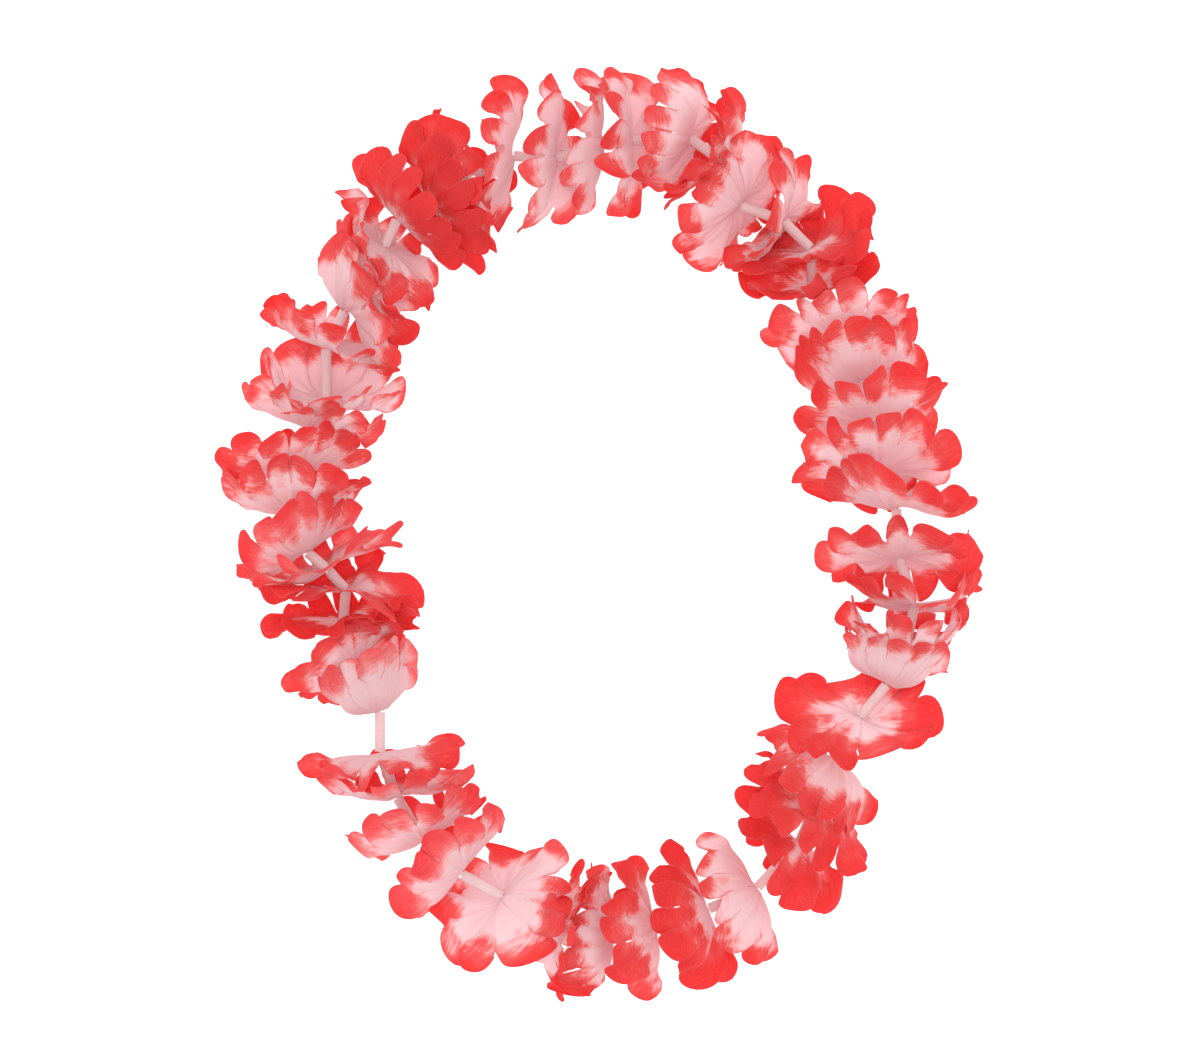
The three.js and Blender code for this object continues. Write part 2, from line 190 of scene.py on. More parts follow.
# The light, which is even and nearly without shadows, as in the photograph.
WORLD_LIGHT = 1.03
KEY_PLACE = (-0.9, 1.1, 1.9)  # metres
KEY_SIZE = 1.2
KEY_POWER = 3
FRONT_LIGHT = 0.75
FRONT_ANGLE = 0.12
FLOOR_GLOW = 0.75
FLOOR_SIZE = 6.0  # metres
FLOOR_DROP = 0.0003

# What each draw is for: the second number given to draw(), or the first of one for each lobe.
UP_DRAW, YAW_DRAW, TURN_DRAW, RUFFLE_DRAW, RUFFLES_DRAW, SIZE_DRAW = 1, 2, 3, 4, 5, 6
SLIT_DRAWS, LONG_DRAWS, LEAN_DRAWS, WIDE_DRAWS, NECK_DRAWS, CURL_DRAWS = 20, 40, 60, 80, 90, 100
DYE_DRAWS, FINGER_DRAW, FADE_DRAW, BOW_DRAW, TWIST_DRAWS = 200, 220, 230, 300, 400


def draw(index, use):
    """A draw between 0 and 1 that is always the same for the same floret and use."""
    value = math.sin(index * 12.9898 + use * 78.233) * 43758.5453
    return value - math.floor(value)


def smooth_step(low, high, value):
    t = np.clip((value - low) / (high - low), 0, 1)
    return t * t * (3 - 2 * t)


# ---------------------------------------------------------------- the middle line of the lei

holes = np.array([complex(x, y) for x, y, *_ in FLORETS])
runs = np.abs(np.roll(holes, -1) - holes)
starts = np.concatenate([[0], np.cumsum(runs)])
loop_length = starts[-1]


def fit_waves(samples=720):
    """The closed zigzag through the holes as its first few waves, each a turning arrow."""
    distance = np.arange(samples) / samples * loop_length
    closed = np.append(holes, holes[0])
    zigzag = np.interp(distance, starts, closed.real) + 1j * np.interp(distance, starts, closed.imag)
    turns = np.arange(-WAVES, WAVES + 1)
    phase = np.exp(-2j * np.pi * np.outer(turns, np.arange(samples)) / samples)
    return turns, phase @ zigzag / samples


wave_turns, wave_arrows = fit_waves()


def middle(distance):
    """Where the middle line is at a distance along it, and its direction, as complex numbers."""
    turning = np.exp(2j * np.pi * np.multiply.outer(distance, wave_turns) / loop_length)
    at = turning @ wave_arrows
    along = turning @ (1j * wave_turns * wave_arrows)
    return at, along / np.abs(along)


def place(distance, outward, up):
    """Points from their distance along the middle line, outward from it, and up from the string."""
    at, along = middle(distance)
    spot = at + 1j * along * outward
    return np.stack([spot.real, spot.imag, STRING_HEIGHT + up], axis=-1)


def make_floret(i):
    """A floret's place along and beside the middle line and its own shape."""
    x, y, opens, cup, face_up, yaw, red = FLORETS[i]
    hole = complex(x, y)
    distance = starts[i]
    threaded = (hole - holes[i - 1]) / abs(hole - holes[i - 1])
    after = holes[(i + 1) % len(holes)]
    threaded += (after - hole) / abs(after - hole)
    for _ in range(4):
        at, along = middle(distance)
        off = (hole - at) / along
        distance += off.real
    bend = threaded / along
    floret = SimpleNamespace(
        index=i,
        along=distance,
        side=off.imag,
        kink=math.atan2(bend.imag, bend.real),
        opens=opens,
        folds=opens if i in FOLDED else 1,
        cup=cup,
        face_up=face_up,
        red=red,
        up=(draw(i, UP_DRAW) - 0.5) * UP_SPREAD,
        yaw=yaw + (draw(i, YAW_DRAW) - 0.5) * YAW_SPREAD,
        turn=draw(i, TURN_DRAW) * 2 * math.pi / LOBES,
        ruffle_turn=draw(i, RUFFLE_DRAW) * 2 * math.pi,
        ruffles=FEWEST_RUFFLES + math.floor(draw(i, RUFFLES_DRAW) * RUFFLE_CHOICES),
        radius=FLORET_RADIUS * (SMALLEST + SIZE_SPREAD * draw(i, SIZE_DRAW)),
    )
    if i == RESTING:
        floret.turn = -math.pi / 2
    lobes = range(LOBES)
    floret.lobe_lean = np.array([(draw(i, LEAN_DRAWS + n) - 0.5) * LEAN_SPREAD for n in lobes])
    across = np.cos(floret.turn + np.arange(LOBES) * 2 * math.pi / LOBES)
    shown = math.copysign(min(1, 0.5 + 2 * abs(face_up)), face_up) * TWIST
    spread = np.array([(draw(i, TWIST_DRAWS + n) - 0.5) * TWIST_SPREAD for n in lobes])
    floret.lobe_twist = -opens * shown * across + spread
    return floret


florets = [make_floret(i) for i in range(len(FLORETS))]

# ---------------------------------------------------------------- how the cloth stands

ANGLES = 288  # directions round the string in a floret's tables
STEPS = 44  # lengths along the cloth in them
FARTHEST = 48  # the farthest from the string that they reach
BEYOND = 1.08  # how far the tables run on past the radius
LEAST_ROOM = 2  # along the string, for cloth that runs on along the surface below
SECTOR = 2 * math.pi / LOBES
TWIST_FROM = 0.5  # of the radius, where the lobes begin to twist
TWIST_FULL = 0.8


def slope(floret, rho, angle, lobe):
    """The slope of a lobe's cloth at a distance along it and an angle round the string."""
    share = rho / floret.radius
    lift = np.sin(angle)
    bend = smooth_step(BEND_FROM, BEND_TO, share)
    opening = floret.cup * (BASE_SLOPE + (TIP_SLOPE - BASE_SLOPE) * bend) - floret.face_up * lift
    wave = np.cos(floret.ruffles * angle + floret.ruffle_turn)
    free = floret.opens * opening + floret.yaw * np.cos(angle) + RUFFLE * share * wave
    free = free + floret.lobe_lean[lobe] * smooth_step(SLIT_ROOT, 1, share)
    shown = smooth_step(SHOWN_FROM, SHOWN_FULL, floret.face_up)
    shown = shown + smooth_step(TIPPED_FROM, TIPPED_FULL, -floret.face_up)
    rest = smooth_step(REST_FROM, REST_FULL, -lift) * (1 - shown)
    square = floret.kink * np.cos(angle)
    lean = free * (1 - rest) + floret.folds * REST_SLOPE * rest
    lean = lean - square * (1 - smooth_step(0, SQUARE_UNTIL, share))
    lean = np.clip(lean, -STEEPEST, STEEPEST)
    flat = smooth_step(COLLAR_FROM, COLLAR_TO, rho)
    return lean * flat - square * (1 - flat)


def fill_tables(floret):
    """Tables of the floret's free shape: out from the string, and along it, at each angle.
    Each lobe has tables of its own that go right round, and by_distance is the lobes together."""
    angle = np.arange(ANGLES) / ANGLES * 2 * math.pi
    floret.reach = BEYOND * floret.radius
    edges = np.linspace(HOLE_RADIUS, floret.reach, STEPS + 1)
    step = edges[1] - edges[0]
    zero = np.zeros((ANGLES, 1))
    grid = np.linspace(0, FARTHEST, 2 * FARTHEST + 1)
    floret.out, floret.deep = [], []
    floret.by_distance = np.zeros((ANGLES, len(grid)))
    turned = (angle - floret.turn) / SECTOR
    nearest = np.floor(turned + 0.5)
    past = (turned - nearest) * SECTOR
    for lobe in range(LOBES):
        lean = slope(floret, (edges[1:] + edges[:-1]) / 2, angle[:, None], lobe)
        out = np.hstack([zero, np.cumsum(np.cos(lean) * step, axis=1)]) + HOLE_RADIUS
        deep = np.hstack([zero, np.cumsum(np.sin(lean) * step, axis=1)])
        floret.out.append(out)
        floret.deep.append(deep)
        for n in np.nonzero(nearest.astype(int) % LOBES == lobe)[0]:
            twist = floret.lobe_twist[lobe] * smooth_step(TWIST_FROM, TWIST_FULL, edges / floret.radius)
            twisted = deep[n] + np.tan(twist) * out[n] * past[n]
            floret.by_distance[n] = np.interp(grid, out[n], twisted)
    floret.out = np.array(floret.out)
    floret.deep = np.array(floret.deep)


def look_up(table, angle, column, lobe=0):
    """A value between the entries of tables whose rows go round the string."""
    row = (angle / (2 * math.pi) * ANGLES) % ANGLES
    r0 = np.floor(row).astype(int) % ANGLES
    rt = row - np.floor(row)
    column = np.clip(column, 0, table.shape[2] - 1.001)
    c0 = np.floor(column).astype(int)
    ct = column - c0
    r1 = (r0 + 1) % ANGLES
    low = table[lobe, r0, c0] * (1 - ct) + table[lobe, r0, c0 + 1] * ct
    high = table[lobe, r1, c0] * (1 - ct) + table[lobe, r1, c0 + 1] * ct
    return low * (1 - rt) + high * rt


for each in florets:
    fill_tables(each)


def wanted(floret, outward, up):
    """How far along the string a floret's free cloth would be at places beside and above the string."""
    x = outward - floret.side
    z = up - floret.up
    return floret.along + look_up(floret.by_distance[None], np.arctan2(z, x), 2 * np.hypot(x, z))


def settled(index, outward, up, own):
    """A floret's own places along the string and its neighbours' there, once cloths that would
    cross have pressed each other apart."""
    line = []
    for n in range(index - REACH, index + REACH + 1):
        lap, which = divmod(n, len(florets))
        line.append(wanted(florets[which], outward, up) + lap * loop_length)
    line[REACH] = own
    line = np.array(line)
    for _ in range(SETTLING):
        for n in range(len(line) - 1):
            push = np.maximum(0, (NEIGHBOUR_GAP - (line[n + 1] - line[n])) / 2)
            line[n] -= push
            line[n + 1] += push
    return line


def stand(floret, rho, past, centre, lobe, widen):
    """Points of the cloth from the flat pattern's distance and the angle past a lobe's centre.
    A lobe keeps its width where the cup narrows, and twists about its own length. Cloth that meets
    the surface below runs on along it."""
    column = (rho - HOLE_RADIUS) / (floret.reach - HOLE_RADIUS) * STEPS
    out = look_up(floret.out, centre + past, column, lobe)
    twist = floret.lobe_twist[lobe] * smooth_step(TWIST_FROM, TWIST_FULL, rho / floret.radius)
    angle = centre + past * (1 + (rho / out - 1) * widen) * np.cos(twist)
    own = look_up(floret.deep, angle, column, lobe) + np.sin(twist) * rho * past
    down = np.maximum(-np.sin(angle), 1e-6)
    floor_out = (STRING_HEIGHT - CAD_CLOTH / 2 + floret.up) / down
    over = np.maximum(0, out - floor_out)
    out = np.minimum(out, floor_out)
    outward = floret.side + out * np.cos(angle)
    up = floret.up + out * np.sin(angle)
    line = settled(floret.index, outward, up, floret.along + own)
    room = np.maximum(line[REACH + 1] - line[REACH] - NEIGHBOUR_GAP, LEAST_ROOM)
    run = room * (1 - np.exp(-over / room))
    return place(line[REACH] + run, outward, up)


# ---------------------------------------------------------------- the cut of a floret

ACROSS = 12  # cells across a lobe
LONG = 13  # and along it
DISC = 8  # rings from the hole to the slits
INSIDE = 9.0  # the distance to the cut edge that points of the disc are given
SPOON = 5.5  # how far a lobe's sides stand off its middle
LOBE_TWIST = 7  # how far its sides part at the tip
TIP_CURL = 6  # how far the tip curls
CREASE = 1.2  # how high the crease along its middle is
CREASE_NARROW = 3.5
GATHER = 0.7  # how high the gathers round the hole are
GATHERS = (13, 5)  # two waves round the hole that make them uneven
CURL_KINDS = 5  # the draws that each lobe has of its own for these
CURL_STRIDE = 7
FLOOR_GAP = 0.05  # under the cloth where it lies on the surface
LOWEST = 0.02  # the height that no point goes below
CRUMPLE_PASSES = 16
CRUMPLE_STRENGTH = 0.6
CRUMPLED_FROM = 0.06  # how far the faces round a point disagree, from 0 when they are level
CRUMPLED_FULL = 0.2
EASING = 7  # rounds of holding back the lobes' own curl where florets would cut into each other
EASED_RINGS = 5  # points round a cut that are held back with it
EASED_GAP = 0.5  # how thick the cloth counts as there
EASED_SHARE = 0.5  # of its curl that a cut takes from the cloth in one round
EASED_FADE = 0.8  # of that, from one ring of points to the next


def cut_floret(floret):
    """The flat pattern of a floret as a grid: its points, quads, and what each point knows."""
    i = floret.index
    radius = floret.radius
    slits = []
    for lobe in range(LOBES):
        root = SLIT_ROOT * radius * (0.86 + 0.28 * draw(i, SLIT_DRAWS + lobe))
        slits.append(root * np.exp(1j * (floret.turn + (lobe - 0.5) * SECTOR)))
    side = np.sin(np.linspace(-math.pi / 2, math.pi / 2, ACROSS + 1))
    points, edge_distance, lobe_of, side_of, tip_of = [], [], [], [], []
    quads = []

    def add(point, edge, lobe, a, t):
        points.append(point)
        edge_distance.append(edge)
        lobe_of.append(lobe)
        side_of.append(a)
        tip_of.append(t)
        return len(points) - 1

    ring_of = []
    runs = []
    for lobe in range(LOBES):
        for a in side[:-1]:
            root = slits[lobe] + (slits[(lobe + 1) % LOBES] - slits[lobe]) * (a + 1) / 2
            column = []
            for n in range(DISC + 1):
                t = n / DISC
                hole = HOLE_RADIUS * root / abs(root)
                edge = INSIDE if a > -1 or n < DISC else 0.0
                column.append(add(hole + (root - hole) * t, edge, lobe, a, 0.0))
            ring_of.append(column)
    for n, column in enumerate(ring_of):
        after = ring_of[(n + 1) % len(ring_of)]
        quads += [(column[k], column[k + 1], after[k + 1], after[k]) for k in range(DISC)]
    for lobe in range(LOBES):
        toward = np.exp(1j * (floret.turn + lobe * SECTOR))
        long = radius * (0.95 + 0.09 * draw(i, LONG_DRAWS + lobe))
        half = LOBE_HALF * (0.88 + 0.24 * draw(i, WIDE_DRAWS + lobe))
        neck = NECK_HALF * (0.9 + 0.2 * draw(i, NECK_DRAWS + lobe))
        rows = [[ring_of[(lobe * ACROSS + n) % len(ring_of)][DISC] for n in range(ACROSS + 1)]]
        for m in range(1, LONG + 1):
            t = m / LONG
            row = []
            for n, a in enumerate(side):
                base = points[rows[0][n]] / toward
                end = long - TIP_ROUND * (1 - (1 - abs(a) ** TIP_POWER) ** (1 / TIP_POWER))
                wide = neck + (half - neck) * float(smooth_step(0.1, 0.6, t))
                free = float(smooth_step(0, 0.3, t))
                spot = complex(
                    base.real + t * (end - base.real),
                    base.imag * (1 - free) + a * wide * free,
                )
                edge = min((1 - abs(a)) * wide, (1 - t) * (end - base.real))
                row.append(add(spot * toward, edge, lobe, a, t))
            rows.append(row)
        for low, high in zip(rows, rows[1:]):
            quads += [(low[n], high[n], high[n + 1], low[n + 1]) for n in range(ACROSS)]
        for n in range(ACROSS + 1):
            column = ring_of[(lobe * ACROSS + n) % len(ring_of)]
            runs.append(column + [row[n] for row in rows[1:]])
    return SimpleNamespace(
        flat=np.array(points),
        quads=np.array(quads),
        runs=np.array(runs),
        edge_distance=np.array(edge_distance),
        lobe=np.array(lobe_of),
        a=np.array(side_of),
        t=np.array(tip_of),
    )


def lengths_along(points):
    """Distances along rows of points, from the first of each row."""
    steps = np.linalg.norm(np.diff(points, axis=1), axis=2)
    return np.hstack([np.zeros((len(points), 1)), np.cumsum(steps, axis=1)])


def unstretch(cut, points):
    """The cloth with its own lengths from the hole out to the tips, where pressing drew it out."""
    flat = np.stack([cut.flat.real, cut.flat.imag], axis=1)
    long = lengths_along(flat[cut.runs])
    now = lengths_along(points[cut.runs])
    want = long * np.minimum(1, now[:, -1:] / long[:, -1:])
    total = np.zeros_like(points)
    count = np.zeros(len(points))
    for run, distance, known in zip(cut.runs, want, now):
        at = [np.interp(distance, known, points[run, axis]) for axis in range(3)]
        total[run] += np.stack(at, axis=1)
        count[run] += 1
    return total / count[:, None]


def normals_of(points, quads):
    """Normals at the points of a sheet of quads."""
    a, b, c, d = (points[quads[:, n]] for n in range(4))
    face = np.cross(c - a, d - b)
    normal = np.zeros_like(points)
    for n in range(4):
        np.add.at(normal, quads[:, n], face)
    return normal / np.maximum(np.linalg.norm(normal, axis=1, keepdims=True), 1e-9)


def edges_of(quads):
    edges = np.concatenate([quads[:, [n, (n + 1) % 4]] for n in range(4)])
    return np.unique(np.sort(edges, axis=1), axis=0)


def smoothed(cut, points):
    """The sheet with its sharpest crumples drawn smooth, and the rest as it was."""
    edges = edges_of(cut.quads)
    links = np.bincount(edges.ravel(), minlength=len(points))
    corners = np.bincount(cut.quads.ravel(), minlength=len(points))
    for _ in range(CRUMPLE_PASSES):
        a, b, c, d = (points[cut.quads[:, n]] for n in range(4))
        face = np.cross(c - a, d - b)
        face /= np.maximum(np.linalg.norm(face, axis=1, keepdims=True), 1e-9)
        normal = np.zeros_like(points)
        for n in range(4):
            np.add.at(normal, cut.quads[:, n], face)
        sharp = 1 - np.linalg.norm(normal, axis=1) / corners
        sharp = smooth_step(CRUMPLED_FROM, CRUMPLED_FULL, sharp)
        around = sharp.copy()
        mean = np.zeros_like(points)
        for one, other in ((0, 1), (1, 0)):
            np.maximum.at(around, edges[:, one], sharp[edges[:, other]])
            np.add.at(mean, edges[:, one], points[edges[:, other]])
        points = points + CRUMPLE_STRENGTH * around[:, None] * (mean / links[:, None] - points)
    return points


def shape_floret(floret, cut, free):
    """Where the points of the cut are on the finished floret. free is their share of its own curl."""
    i = floret.index
    centre = floret.turn + cut.lobe * SECTOR
    past = np.angle(cut.flat * np.exp(-1j * centre))
    widen = smooth_step(0, 0.35, cut.t)
    points = stand(floret, np.abs(cut.flat), past, centre, cut.lobe, widen)
    points = unstretch(cut, points)
    normal = normals_of(points, cut.quads)
    seeds = [CURL_DRAWS + CURL_STRIDE * n for n in range(LOBES)]
    own = np.array([[draw(i, seed + kind) - 0.5 for kind in range(CURL_KINDS)] for seed in seeds])
    spoon, twist, curl, crease, phase = own[cut.lobe].T
    t, a = cut.t, cut.a
    lift = spoon * SPOON * a * a * smooth_step(0.1, 0.9, t)
    lift += twist * LOBE_TWIST * a * t * t
    lift += curl * TIP_CURL * t**3
    ridge = np.exp(-((a * CREASE_NARROW) ** 2)) * smooth_step(0, 0.5, t) * (1 - 0.6 * t)
    lift += crease * CREASE * ridge
    around = np.angle(cut.flat)
    share = np.abs(cut.flat) / floret.radius
    gathers = np.cos(GATHERS[0] * around + 9 * phase) * np.cos(GATHERS[1] * around + i)
    lift += GATHER * gathers * smooth_step(0.12, 0.4, share) * (1 - smooth_step(0.5, 0.8, share))
    points = smoothed(cut, points + normal * (lift * free)[:, None])
    points[:, 2] = np.maximum(points[:, 2], CLOTH / 2 + FLOOR_GAP)
    return points


# ---------------------------------------------------------------- meshes


def add_mesh(name, points, faces, smooth=True):
    """A mesh object from points in millimetres, which are already in the part's own frame."""
    mesh = bpy.data.meshes.new(name)
    mesh.from_pydata((points * MM).tolist(), [], [list(map(int, face)) for face in faces])
    mesh.update()
    if smooth:
        mesh.polygons.foreach_set("use_smooth", [True] * len(mesh.polygons))
    piece = bpy.data.objects.new(name, mesh)
    bpy.context.scene.collection.objects.link(piece)
    return piece


def rim_of(quads):
    """The directed edges of a sheet that belong to one quad only."""
    edges = np.concatenate([quads[:, [n, (n + 1) % 4]] for n in range(4)])
    known = set(map(tuple, edges.tolist()))
    return [edge for edge in known if (edge[1], edge[0]) not in known]


def two_sided(points, quads, thickness):
    """The sheet with its thickness: points and faces of both sides and the cut edge between them."""
    normal = normals_of(points, quads)
    both = np.concatenate([points + normal * thickness / 2, points - normal * thickness / 2])
    both[:, 2] = np.maximum(both[:, 2], LOWEST)
    count = len(points)
    faces = [tuple(q) for q in quads.tolist()]
    faces += [tuple(n + count for n in reversed(q)) for q in quads.tolist()]
    rim = [(b, a, a + count, b + count) for a, b in sorted(rim_of(quads))]
    return both, faces, rim


def set_values(piece, name, kind, values):
    key = "vector" if kind == "FLOAT_VECTOR" else "value"
    attribute = piece.data.attributes.new(name, kind, "POINT")
    attribute.data.foreach_set(key, np.asarray(values, dtype=np.float32).ravel())


def flat_area(cut):
    a, b, c, d = (cut.flat[cut.quads[:, n]] for n in range(4))
    return float(np.abs(((c - a).conjugate() * (d - b)).imag).sum() / 2)


def dye_of(floret, cut):
    """How far past the edge of the red dye each point is, as a share of the radius."""
    i = floret.index
    edge = 0.95 - 0.45 * floret.red - 0.35 * floret.red**2
    own = np.array([(draw(i, DYE_DRAWS + lobe) - 0.5) * DYE_SPREAD for lobe in range(LOBES)])
    around = np.angle(cut.flat) - floret.turn
    place_round = around / SECTOR
    lobe = np.floor(place_round).astype(int)
    blend = smooth_step(0, 1, place_round - lobe)
    shift = own[lobe % LOBES] * (1 - blend) + own[(lobe + 1) % LOBES] * blend
    fingers = FINGER * np.cos(2 * LOBES * around / 2 + draw(i, FINGER_DRAW) * 6)
    return np.abs(cut.flat) / floret.radius - edge - shift - fingers


def shape_all(cuts):
    """The points of every floret, with less of its own curl where it would cut into another."""
    free = [np.ones(len(cut.flat)) for cut in cuts]
    edges = [edges_of(cut.quads) for cut in cuts]
    shapes, trees = [None] * len(cuts), [None] * len(cuts)
    changed = range(len(cuts))
    for _ in range(EASING):
        for i in changed:
            shapes[i] = shape_floret(florets[i], cuts[i], free[i])
            both, faces, _ = two_sided(shapes[i], cuts[i].quads, EASED_GAP)
            trees[i] = BVHTree.FromPolygons(both.tolist(), faces)
        cutting = [set() for _ in cuts]
        for i in range(len(cuts)):
            for j in range(i + 1, len(cuts)):
                for one, other in trees[i].overlap(trees[j]):
                    cutting[i].add(one % len(cuts[i].quads))
                    cutting[j].add(other % len(cuts[j].quads))
        changed = [i for i in range(len(cuts)) if cutting[i]]
        for i in changed:
            near = np.zeros(len(cuts[i].flat))
            near[cuts[i].quads[sorted(cutting[i])].ravel()] = 1
            for _ in range(EASED_RINGS):
                spread = near.copy()
                for one, other in ((0, 1), (1, 0)):
                    np.maximum.at(spread, edges[i][:, one], EASED_FADE * near[edges[i][:, other]])
                near = spread
            free[i] *= 1 - EASED_SHARE * near
    return shapes


def make_cloth(floret, cut, points, material):
    both, faces, rim = two_sided(points, cut.quads, CLOTH)
    name = f"floret_cloth_{floret.index + 1:02d}"
    piece = add_mesh(name, both, faces + rim)
    sharp = {tuple(sorted(e)) for a, b, c, d in rim for e in ((a, b), (c, d))}
    flags = [tuple(sorted(edge.vertices)) in sharp for edge in piece.data.edges]
    piece.data.edges.foreach_set("use_edge_sharp", flags)
    twice = lambda values: np.concatenate([values, values])
    apart = np.full(len(cut.flat), CLOTH_APART * floret.index)
    flat = np.stack([cut.flat.real, cut.flat.imag, apart], axis=1)
    set_values(piece, "cut", "FLOAT_VECTOR", twice(flat))
    set_values(piece, "dye", "FLOAT", twice(dye_of(floret, cut)))
    # The distance of each point to the cut edge, which places the painted shade along the cloth's rim.
    set_values(piece, "edge_distance", "FLOAT", twice(cut.edge_distance))
    fade = FADED_SHARE if floret.index in FADED else USUAL_FADE * draw(floret.index, FADE_DRAW)
    set_values(piece, "fade", "FLOAT", np.full(2 * len(points), fade))
    piece.data.materials.append(material)
    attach(piece, "root")
    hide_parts(f"floret_{floret.index + 1:02d}")
    flat_area(cut) * MM * MM
    return piece


def frame_ring(direction):
    """Two directions square to a run of the string: level, and up."""
    side = np.array([direction[1], -direction[0], 0.0])
    side /= np.linalg.norm(side)
    return side, np.cross(side, direction)


def sweep(path, radius_at, sides, closed):
    """Points and quads of a round skin along a path. radius_at gives radii for an array of turns."""
    count = len(path)
    if closed:
        tangent = np.roll(path, -1, axis=0) - np.roll(path, 1, axis=0)
    else:
        tangent = np.gradient(path, axis=0)
    tangent /= np.linalg.norm(tangent, axis=1, keepdims=True)
    turns = np.arange(sides) / sides * 2 * math.pi
    side = np.cross(tangent, [0, 0, 1.0])
    weak = np.linalg.norm(side, axis=1) < 1e-3
    side[weak] = [1.0, 0, 0]
    side /= np.linalg.norm(side, axis=1, keepdims=True)
    up = np.cross(side, tangent)
    radius = np.array([radius_at(n, turns) for n in range(count)])
    points = path[:, None, :] + side[:, None, :] * (radius * np.cos(turns))[..., None]
    points = points + up[:, None, :] * (radius * np.sin(turns))[..., None]
    quads = []
    for n in range(count if closed else count - 1):
        here, after = n * sides, (n + 1) % count * sides
        for k in range(sides):
            other = (k + 1) % sides
            quads.append((here + k, here + other, after + other, after + k))
    return points.reshape(-1, 3), quads


def through_point(i):
    i %= len(florets)
    return np.array([holes[i].real, holes[i].imag, STRING_HEIGHT + florets[i].up])


def run_of(i):
    """From one floret's hole towards the next: the start, the direction and the length."""
    start, end = through_point(i), through_point(i + 1)
    length = float(np.linalg.norm(end - start))
    return start, (end - start) / length, length


def cad_low_corner():
    """The lowest corner of the string with its tubes, before the part's origin was set."""
    corners = []
    turns = np.arange(TUBE_SIDES) / TUBE_SIDES * 2 * math.pi
    for i in range(len(florets)):
        start, direction, length = run_of(i)
        side, top = frame_ring(direction)
        first = KNOT_SPACE if i == KNOT_AFTER else CAD_TUBE_END_GAP
        for distance in (first, length - CAD_TUBE_END_GAP):
            centre = start + direction * distance
            for turn in turns:
                corners.append(centre + TUBE_RADIUS * (side * math.cos(turn) + top * math.sin(turn)))
    return np.min(corners, axis=0)


def make_tube(i, shift, material):
    """One hollow spacer tube, cut slightly out of square."""
    start, direction, length = run_of(i)
    side, top = frame_ring(direction)
    first = KNOT_SPACE if i == KNOT_AFTER else TUBE_END_GAP
    stations = np.linspace(first, length - TUBE_END_GAP, TUBE_STATIONS)
    sides = TUBE_FACES
    turns = np.arange(sides) / sides * 2 * math.pi
    rings = []
    bow = (draw(i, BOW_DRAW) - 0.5) * TUBE_BOW
    for radius, order in ((TUBE_RADIUS, stations), (TUBE_RADIUS - TUBE_WALL, stations[::-1])):
        for distance in order:
            share = (distance - stations[0]) / (stations[-1] - stations[0])
            wave = 1 + 0.012 * np.cos(2 * turns + i) + 0.006 * np.cos(3 * turns + 9 * share + i)
            ends = OUT_OF_SQUARE * (abs(share - 0.5) > 0.49) * np.cos(turns + 2.1 * i)
            centre = start + direction * distance + top * bow * math.sin(math.pi * share)
            ring = centre + radius * wave[:, None] * (
                np.cos(turns)[:, None] * side + np.sin(turns)[:, None] * top
            )
            rings.append(ring + ends[:, None] * direction)
    faces = []
    for n in range(len(rings)):
        here, after = n * sides, (n + 1) % len(rings) * sides
        for k in range(sides):
            other = (k + 1) % sides
            faces.append((here + k, here + other, after + other, after + k))
    piece = add_mesh(f"spacer_tube_{i + 1:02d}", np.concatenate(rings) + shift, faces)
    half = len(stations)
    lips = {(half - 1, half), (0, 2 * half - 1)}
    lip_rings = {n for pair in lips for n in pair}
    flags = []
    for edge in piece.data.edges:
        a, b = (v // sides for v in edge.vertices)
        flags.append(a == b and a in lip_rings)
    piece.data.edges.foreach_set("use_edge_sharp", flags)
    piece.data.materials.append(material)
    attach(piece, "root")
    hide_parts("string_with_spacer_tubes")
    return piece


def make_string(shift, material):
    """The string through everything, of three twisted strands, with its knot and two tails."""
    path = []
    for i in range(len(florets)):
        start, direction, length = run_of(i)
        count = max(4, round(length / STRING_STEP))
        for n in range(count):
            path.append(start + direction * length * n / count)
    path = np.array(path)
    for _ in range(3):
        path = (np.roll(path, 1, axis=0) + 2 * path + np.roll(path, -1, axis=0)) / 4
    strands = lambda n, turns: STRING_RADIUS * (
        1 + STRAND_RELIEF * np.cos(STRANDS * (turns - STRAND_TURN * n))
    )
    points, quads = sweep(path, strands, 12, closed=True)
    parts = [(points, quads)]
    start, direction, _ = run_of(KNOT_AFTER)
    side, top = frame_ring(direction)
    s = np.linspace(0, 2 * math.pi, 97)[:-1]
    wide = KNOT_SIZE * (2 + np.cos(3 * s))
    knot = start + direction * KNOT_AT
    knot = knot + np.outer(0.9 * np.sin(3 * s), direction)
    knot = knot + np.outer(wide * np.cos(2 * s), side) + np.outer(wide * np.sin(2 * s), top)
    parts.append(sweep(knot, strands, 10, closed=True))
    for sign in (1, -1):
        u = np.linspace(0, 1, 17)
        tail = start + direction * KNOT_AT
        tail = tail + np.outer(u * TAIL * sign + 1.0 * sign, side)
        tail = tail + np.outer(1.2 * np.sin(2.5 * u) - 2.2 * u * u, top)
        tail = tail + np.outer(1.8 * sign * np.sin(1.7 * u), direction)
        points, quads = sweep(tail, strands, 10, closed=False)
        quads += [tuple(range(9, -1, -1)), tuple(range(len(points) - 10, len(points)))]
        parts.append((points, quads))
    everything, faces, count = [], [], 0
    for points, quads in parts:
        everything.append(points)
        faces += [tuple(n + count for n in q) for q in quads]
        count += len(points)
    piece = add_mesh("string", np.concatenate(everything) + shift, faces)
    piece.data.materials.append(material)
    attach(piece, "root")
    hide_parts("string_with_spacer_tubes")
    return piece


# ---------------------------------------------------------------- materials


def linear(r, g, b):
    """A colour from screen values of 0 to 255."""
    part = [v / 255 for v in (r, g, b)]
    part = [v / 12.92 if v <= 0.04045 else ((v + 0.055) / 1.055) ** 2.4 for v in part]
    return (*part, 1.0)


